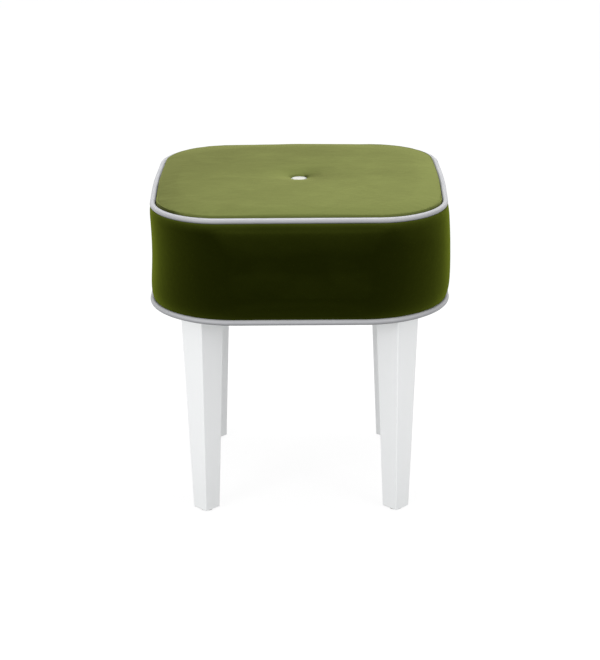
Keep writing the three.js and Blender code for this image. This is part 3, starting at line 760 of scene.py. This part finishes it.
# Spun-bonded cloth: matt black fibres pressed together in a fine pattern of bonding dots. The
# fibres are drawn coarser than the real 0.02 mm.
spunbond = new_finish("black_spunbond_cloth", Roughness=0.9, Specular_IOR_Level=0.25)
place = add_node(spunbond, "ShaderNodeTexCoord").outputs["Object"]
dots = add_node(spunbond, "ShaderNodeTexVoronoi", {
    "Vector": place, "Scale": 1000 / bond_dot_mm, "Randomness": 0.25})
fibres = add_node(spunbond, "ShaderNodeTexNoise", {
    "Vector": place, "Scale": 1000 / fibre_mm, "Detail": 3})
feed_shader(
    spunbond,
    Base_Color=add_node(spunbond, "ShaderNodeMix", {
        mix_share: fibres, mix_from: linear("#17171a"), mix_to: linear("#26262a")}, data_type="RGBA"),
    Normal=add_node(spunbond, "ShaderNodeBump", {
        "Height": dots.outputs["Distance"], "Strength": 0.4, "Distance": 0.0003}))
dust_cover.data.materials.append(spunbond)
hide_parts("dust_cover")
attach(dust_cover, "root")

# Staples: 10 mm crowns of galvanised wire, shot through the dust cover, the flange and the hem
# into the board, one every 25 mm or so, each a little askew.
staple_crown = 0.010
staple_wire = 0.0012
staple_stand = 0.0007
staple_edge = 0.00024
staple_pitch = 0.025
staple_skew = math.radians(7)
staple_skew_stride = 2.4


def copied_piece(piece, name):
    """A copy of a piece, with a mesh of its own."""
    bpy.ops.object.select_all(action="DESELECT")
    piece.select_set(True)
    bpy.context.view_layer.objects.active = piece
    bpy.ops.object.duplicate(linked=False)
    copy = bpy.context.object
    copy.name = copy.data.name = name
    return copy


bpy.ops.object.select_all(action="DESELECT")
bpy.ops.mesh.primitive_cube_add(size=1, scale=(staple_crown, staple_wire, staple_stand))
staple = bpy.context.object
bpy.ops.object.transform_apply()
bpy.ops.object.mode_set(mode="EDIT")
bpy.ops.mesh.select_all(action="SELECT")
bpy.ops.mesh.bevel(offset=staple_edge, segments=1)
bpy.ops.object.mode_set(mode="OBJECT")

staple_row = seat_outline(staple_reach, board_low.z)
lengths = [0]
for start, end in zip(staple_row, staple_row[1:] + staple_row[:1]):
    lengths.append(lengths[-1] + (end - start).length)
staple_count = round(lengths[-1] / staple_pitch)
staples = [staple] + [copied_piece(staple, f"staple_{number}") for number in range(1, staple_count)]
for number, staple in enumerate(staples):
    target = lengths[-1] * (number + 0.5) / staple_count
    index = max(i for i, length in enumerate(lengths[:-1]) if length <= target)
    start, end = staple_row[index], staple_row[(index + 1) % around]
    spot = start.lerp(end, (target - lengths[index]) / (end - start).length)
    heading = math.atan2(end.y - start.y, end.x - start.x)
    heading += staple_skew * math.sin(number * staple_skew_stride)
    spot = Vector((spot.x, spot.y, hem_face - staple_stand / 2))
    staple.data.transform(Matrix.Translation(spot) @ Matrix.Rotation(heading, 4, "Z"))
    staple.select_set(True)
bpy.context.view_layer.objects.active = staples[0]
bpy.ops.object.join()
staple_ring = bpy.context.object
staple_ring.name = staple_ring.data.name = "dust_cover_staples"
staple_ring.data.materials.append(zinc)
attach(staple_ring, "root")

# Legs: solid hardwood, sawn to a tapered square and turned so that an edge faces forward, with
# eased edges, sanded, and sprayed with white satin paint. A hanger bolt holds each to the board.
leg_top_width = 0.042
leg_foot_width = 0.0261
leg_edge_radius = 0.0012
leg_foot_bevel = 0.002
leg_crease = math.radians(25)
end_tolerance = 0.0001
orange_peel_mm = 2.2
spray_cloud_mm = 90


def bevel_edges(piece, chosen, offset, segments):
    """Rounds off the edges whose two ends the test chooses."""
    bpy.ops.object.mode_set(mode="EDIT")
    bpy.ops.mesh.select_mode(type="EDGE")
    bpy.ops.mesh.select_all(action="DESELECT")
    bpy.ops.object.mode_set(mode="OBJECT")
    for edge in piece.data.edges:
        edge.select = chosen(*(piece.data.vertices[i].co for i in edge.vertices))
    bpy.ops.object.mode_set(mode="EDIT")
    bpy.ops.mesh.bevel(offset=offset, segments=segments)
    bpy.ops.mesh.select_all(action="SELECT")
    bpy.ops.mesh.normals_make_consistent(inside=False)
    bpy.ops.object.mode_set(mode="OBJECT")


leg_low, leg_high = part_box("leg_front_left")
first_leg_middle = (leg_low + leg_high) / 2
bpy.ops.object.select_all(action="DESELECT")
bpy.ops.mesh.primitive_cone_add(
    vertices=4, radius1=leg_foot_width / math.sqrt(2), radius2=leg_top_width / math.sqrt(2),
    depth=leg_high.z - leg_low.z, location=first_leg_middle)
leg = bpy.context.object
bpy.ops.object.transform_apply()
bevel_edges(leg, lambda start, end: max(start.z, end.z) < leg_low.z + end_tolerance, leg_foot_bevel, 2)
bevel_edges(leg, lambda start, end: abs(start.z - end.z) > leg_foot_bevel, leg_edge_radius, 4)
bpy.ops.object.shade_smooth_by_angle(angle=leg_crease)
apply_modifier(leg, "WEIGHTED_NORMAL", keep_sharp=True)

# White satin paint: a close, even coat with the faint orange peel that a spray gun leaves.
satin_paint = new_finish("white_satin_paint", IOR=1.5)
place = add_node(satin_paint, "ShaderNodeTexCoord").outputs["Object"]
peel = add_node(satin_paint, "ShaderNodeTexNoise", {
    "Vector": place, "Scale": 1000 / orange_peel_mm, "Detail": 1})
cloud = add_node(satin_paint, "ShaderNodeTexNoise", {
    "Vector": place, "Scale": 1000 / spray_cloud_mm, "Detail": 2})
feed_shader(
    satin_paint,
    Base_Color=add_node(satin_paint, "ShaderNodeMix", {
        mix_share: cloud, mix_from: linear("#ebeded"), mix_to: linear("#eff0f1")}, data_type="RGBA"),
    Roughness=add_node(satin_paint, "ShaderNodeMapRange", {
        "Value": cloud, "To Min": 0.34, "To Max": 0.42}),
    Normal=add_node(satin_paint, "ShaderNodeBump", {
        "Height": peel, "Strength": 0.12, "Distance": 0.0002}))
leg.data.materials.append(satin_paint)

# Glides: discs of grey moulded nylon, 18 mm across and with a rounded lower edge. One is nailed
# into the end of each leg, so that the wood doesn't scrape the floor.
glide_radius = 0.009
glide_edge_radius = 0.0012
glide_sides = 48
glide_crease = math.radians(40)
moulding_grain_mm = 0.7

glide_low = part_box("glide_front_left")[0]
bpy.ops.object.select_all(action="DESELECT")
bpy.ops.mesh.primitive_cylinder_add(
    vertices=glide_sides, radius=glide_radius, depth=leg_low.z - glide_low.z,
    location=(first_leg_middle.x, first_leg_middle.y, (glide_low.z + leg_low.z) / 2))
glide = bpy.context.object
bpy.ops.object.transform_apply()
bevel_edges(
    glide, lambda start, end: max(start.z, end.z) < glide_low.z + end_tolerance, glide_edge_radius, 4)
bpy.ops.object.shade_smooth_by_angle(angle=glide_crease)

# Grey nylon: moulded, with the dull, slightly scuffed skin of a plastic that slides on a floor.
nylon = new_finish("grey_nylon", IOR=1.53)
place = add_node(nylon, "ShaderNodeTexCoord").outputs["Object"]
scuffs = add_node(nylon, "ShaderNodeTexNoise", {
    "Vector": place, "Scale": 1000 / moulding_grain_mm, "Detail": 3})
feed_shader(
    nylon,
    Base_Color=add_node(nylon, "ShaderNodeMix", {
        mix_share: scuffs, mix_from: linear("#7c7b77"), mix_to: linear("#93928d")}, data_type="RGBA"),
    Roughness=add_node(nylon, "ShaderNodeMapRange", {"Value": scuffs, "To Min": 0.4, "To Max": 0.6}),
    Normal=add_node(nylon, "ShaderNodeBump", {"Height": scuffs, "Strength": 0.15, "Distance": 0.0002}))
glide.data.materials.append(nylon)

# One leg and one glide serve all four corners.
for first, kind, name, slot in (
        (leg, "leg_", "painted_leg_", "leg_paint"), (glide, "glide_", "nylon_glide_", "glide_nylon")):
    first.name = first.data.name = name + corners[0]
    pieces = [first] + [copied_piece(first, name + corner) for corner in corners[1:]]
    for piece, corner in zip(pieces, corners):
        corner_low, corner_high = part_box("leg_" + corner)
        shift = (corner_low + corner_high) / 2 - first_leg_middle
        piece.data.transform(Matrix.Translation(shift))
        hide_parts(kind + corner)
        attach(piece, "root")

# Floor and surroundings of the picture: a plain white studio. The camera sees them near white,
# and the floor keeps the stool's soft shadow.
floor_width = 30
floor_glow = 0.875
world_light = 0.6

bpy.ops.object.select_all(action="DESELECT")
bpy.ops.mesh.primitive_plane_add(size=floor_width, location=(0, 0, 0))
floor = bpy.context.object
floor.name = "studio_floor"
floor_paint = bpy.data.materials.new("studio_floor_paint")
floor_paint.use_nodes = True
tree = floor_paint.node_tree
tree.nodes.remove(tree.nodes["Principled BSDF"])


def seen_directly(material):
    """1 for rays from the camera, or off gloss or through glass, and 0 for rays that light."""
    rays = add_node(material, "ShaderNodeLightPath")
    seen = add_node(material, "ShaderNodeMath", {
        0: rays.outputs["Is Camera Ray"], 1: rays.outputs["Is Glossy Ray"]}, operation="MAXIMUM")
    return add_node(material, "ShaderNodeMath", {
        0: seen, 1: rays.outputs["Is Transmission Ray"]}, operation="MAXIMUM")


matt_white = add_node(floor_paint, "ShaderNodeBsdfDiffuse", {"Color": linear("#ececec")})
glow = add_node(floor_paint, "ShaderNodeEmission", {"Color": (1, 1, 1, 1), "Strength": floor_glow})
faint_shadow = add_node(floor_paint, "ShaderNodeBsdfDiffuse", {"Color": linear("#808080")})
lit = add_node(floor_paint, "ShaderNodeAddShader", {0: glow, 1: faint_shadow})
both = add_node(floor_paint, "ShaderNodeMixShader", {
    0: seen_directly(floor_paint), 1: matt_white, 2: lit})
tree.links.new(both.outputs[0], tree.nodes["Material Output"].inputs["Surface"])
floor.data.materials.append(floor_paint)

world = bpy.data.worlds.new("white_studio")
bpy.context.scene.world = world
world.use_nodes = True
strength = add_node(world, "ShaderNodeMapRange", {
    "Value": seen_directly(world), "To Min": world_light, "To Max": 1.0})
background = world.node_tree.nodes["Background"]
background.inputs["Color"].default_value = (1, 1, 1, 1)
world.node_tree.links.new(strength.outputs[0], background.inputs["Strength"])


def soft_light(name, place, aim, size, power):
    """A round studio light with a diffuser."""
    bpy.ops.object.light_add(type="AREA", location=place)
    lamp = bpy.context.object
    lamp.name = name
    lamp.data.shape = "DISK"
    lamp.data.size = size
    lamp.data.energy = power
    lamp.rotation_euler = (Vector(aim) - Vector(place)).to_track_quat("-Z", "Y").to_euler()


soft_light("key_light", place=(-1.9, -2.3, 0.95), aim=(0, 0, 0.25), size=1.4, power=31)
soft_light("fill_light", place=(2.1, -2.1, 0.95), aim=(0, 0, 0.25), size=1.4, power=18)
soft_light("top_light", place=(0.1, 0.2, 1.5), aim=(0, 0, 0.4), size=0.8, power=7)

bpy.context.scene.view_settings.view_transform = "Standard"
